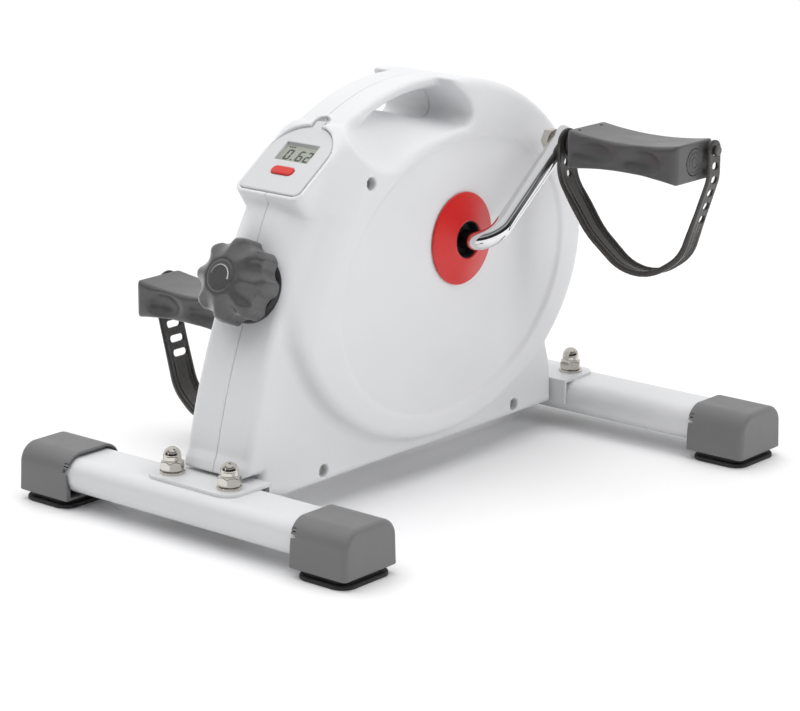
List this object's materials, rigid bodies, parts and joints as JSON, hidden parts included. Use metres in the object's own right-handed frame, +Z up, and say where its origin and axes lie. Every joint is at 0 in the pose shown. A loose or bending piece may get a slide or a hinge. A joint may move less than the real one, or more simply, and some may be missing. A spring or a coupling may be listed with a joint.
{
  "type": "pedal exerciser",
  "caption": "Compact floor-standing pedal exerciser: white drum housing on two stabiliser tubes, carrying handle, tilted meter, tension knob, chrome cranks and grey pedals with foot straps",
  "frame": {"origin": "middle of the footprint on the floor", "axes": "+X from the user end with the meter to the rear, +Y to the user left, +Z up"},
  "size_m": [0.5064, 0.4644, 0.333],
  "materials": {
    "housing_white": "satin white, fine moulded texture",
    "frame_paint": "pearl white powder coat",
    "cap_grey": "satin mid grey",
    "pad_rubber": "matt black",
    "nickel": "bright nickel plate",
    "crank_chrome": "mirror chrome",
    "steel": "plain steel",
    "zinc_steel": "zinc plated",
    "knob_grey": "semi-gloss dark grey",
    "pedal_grey": "satin dark grey",
    "plug_grey": "satin grey",
    "strap_rubber": "soft brown-grey rubber",
    "cover_red": "satin red",
    "button_red": "satin red",
    "black_plastic": "black",
    "panel_white": "satin white",
    "clear_lens": "clear",
    "lcd_grey": "grey-green display",
    "board_green": "circuit board",
    "wheel_iron": "turned and oiled",
    "magnet": "nickel plated magnet",
    "belt_rubber": "ribbed belt"
  },
  "bodies": {
    "base": {"right_shell": "housing_white", "left_shell": "housing_white", "main_frame": "frame_paint", "front_bracket": "frame_paint", "rear_bracket": "frame_paint", "front_stabilizer": "frame_paint", "rear_stabilizer": "frame_paint", "carriage_bolts": "zinc_steel", "washers": "nickel", "acorn_nuts": "nickel", "shell_screws": "zinc_steel", "axle_bearings": "steel", "left_axle_cover": "cover_red", "right_axle_cover": "cover_red", "dust_rings": "black_plastic", "tension_housing": "black_plastic", "meter_case": "panel_white", "meter_back": "panel_white", "meter_lens": "clear_lens", "lcd_panel": "lcd_grey", "meter_board": "board_green", "coin_cell": "zinc_steel", "arm_pivot_pin": "steel", "return_spring": "steel", "speed_sensor": "black_plastic", "drive_belt": "belt_rubber", "flywheel_axle": "zinc_steel", "flywheel_axle_nuts": "zinc_steel", "front_left_end_cap": "cap_grey", "front_left_foot_pad": "pad_rubber", "front_right_end_cap": "cap_grey", "front_right_foot_pad": "pad_rubber", "rear_left_end_cap": "cap_grey", "rear_left_foot_pad": "pad_rubber", "rear_right_end_cap": "cap_grey", "rear_right_foot_pad": "pad_rubber"},
    "crankset": {"crank_axle": "steel", "drive_pulley": "black_plastic", "sensor_magnet": "magnet", "right_crank": "crank_chrome", "left_crank": "crank_chrome", "right_pedal_spindle": "nickel", "left_pedal_spindle": "nickel", "spindle_nuts": "zinc_steel"},
    "right_pedal_body": {"right_pedal": "pedal_grey", "right_pedal_plug": "plug_grey", "right_strap": "strap_rubber"},
    "left_pedal_body": {"left_pedal": "pedal_grey", "left_pedal_plug": "plug_grey", "left_strap": "strap_rubber"},
    "flywheel_body": {"flywheel": "wheel_iron", "flywheel_bearings": "steel", "flywheel_pulley": "steel"},
    "knob_body": {"tension_knob": "knob_grey", "knob_spindle": "steel", "cable_drum": "black_plastic"},
    "brake_body": {"magnet_arm": "steel", "brake_magnets": "magnet"},
    "button_body": {"reset_button": "button_red"}
  },
  "joints": [
    {"name": "crank_spin", "type": "hinge", "parent": "base", "child": "crankset", "pos_m": [0.043, 0, 0.199], "axis": [0, 1, 0], "continuous": true},
    {"name": "flywheel_spin", "type": "hinge", "parent": "base", "child": "flywheel_body", "pos_m": [-0.05, 0, 0.131], "axis": [0, 1, 0], "continuous": true},
    {"name": "right_pedal_spin", "type": "hinge", "parent": "crankset", "child": "right_pedal_body", "pos_m": [0.136, -0.15, 0.271], "axis": [0, 1, 0], "continuous": true},
    {"name": "left_pedal_spin", "type": "hinge", "parent": "crankset", "child": "left_pedal_body", "pos_m": [-0.05, 0.15, 0.127], "axis": [0, 1, 0], "continuous": true},
    {"name": "knob_turn", "type": "hinge", "parent": "base", "child": "knob_body", "pos_m": [-0.161, 0, 0.189], "axis": [-0.9219, 0, 0.3875], "range_deg": [0, 320]},
    {"name": "brake_tilt", "type": "hinge", "parent": "base", "child": "brake_body", "pos_m": [-0.146, 0, 0.076], "axis": [0, 1, 0], "range_deg": [0, 2.3]},
    {"name": "button_press", "type": "slide", "parent": "base", "child": "button_body", "axis": [0.5693, 0, -0.8221], "range_m": [0, 0.0012], "stiffness_N_per_m": 400}
  ],
  "couplings": [
    {"joint": "flywheel_spin", "follows": "crank_spin", "ratio": 5},
    {"joint": "brake_tilt", "follows": "knob_turn", "ratio": 0.006875}
  ]
}
